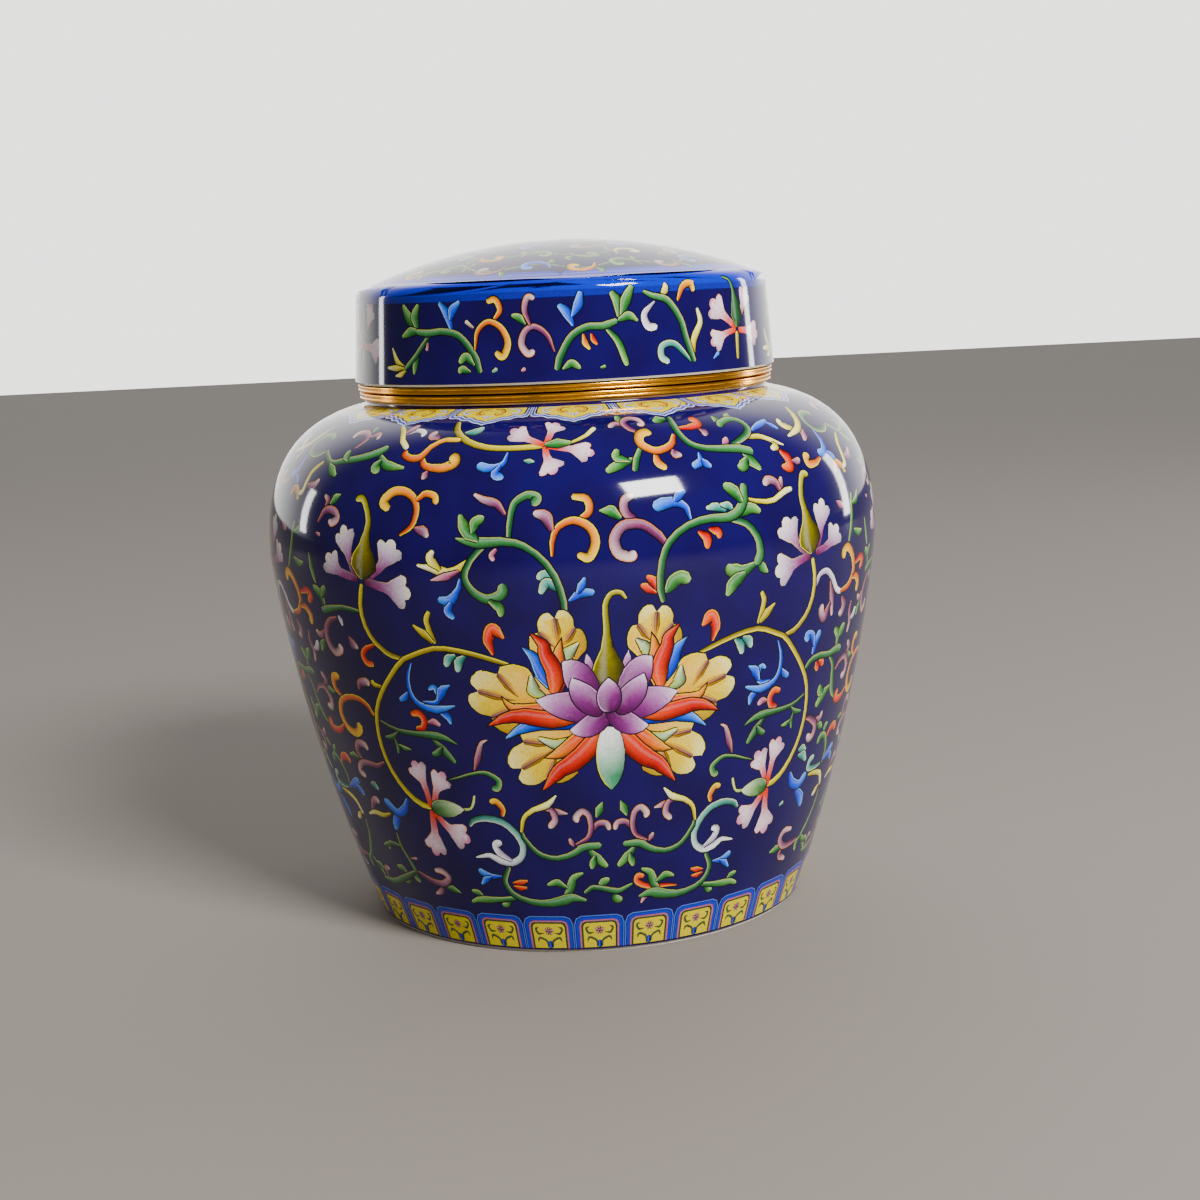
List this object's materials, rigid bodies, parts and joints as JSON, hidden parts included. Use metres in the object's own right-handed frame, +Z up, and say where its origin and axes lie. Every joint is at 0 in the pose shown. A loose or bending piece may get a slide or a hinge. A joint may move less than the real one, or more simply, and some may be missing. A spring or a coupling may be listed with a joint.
{
  "type": "ceramic lidded jar",
  "caption": "Porcelain lidded jar with a full belly, wide mouth, brass rim rings and a low domed drum lid, painted all over with a lotus scroll in enamels on cobalt, for tea or display",
  "frame": {"origin": "middle of the underside, on the plane of the foot rim", "axes": "+Z up along the axis of the jar; -Y faces the viewer, with the main lotus close to it"},
  "size_m": [0.1536, 0.1536, 0.167],
  "materials": {
    "cobalt_porcelain": "glossy clear glaze over a cobalt ground with painted enamels",
    "gilt_brass": "polished and gilt"
  },
  "bodies": {
    "root": {"jar_body": "cobalt_porcelain", "mouth_ring": "gilt_brass", "lid_ring": "gilt_brass", "lid": "cobalt_porcelain"}
  },
  "joints": []
}
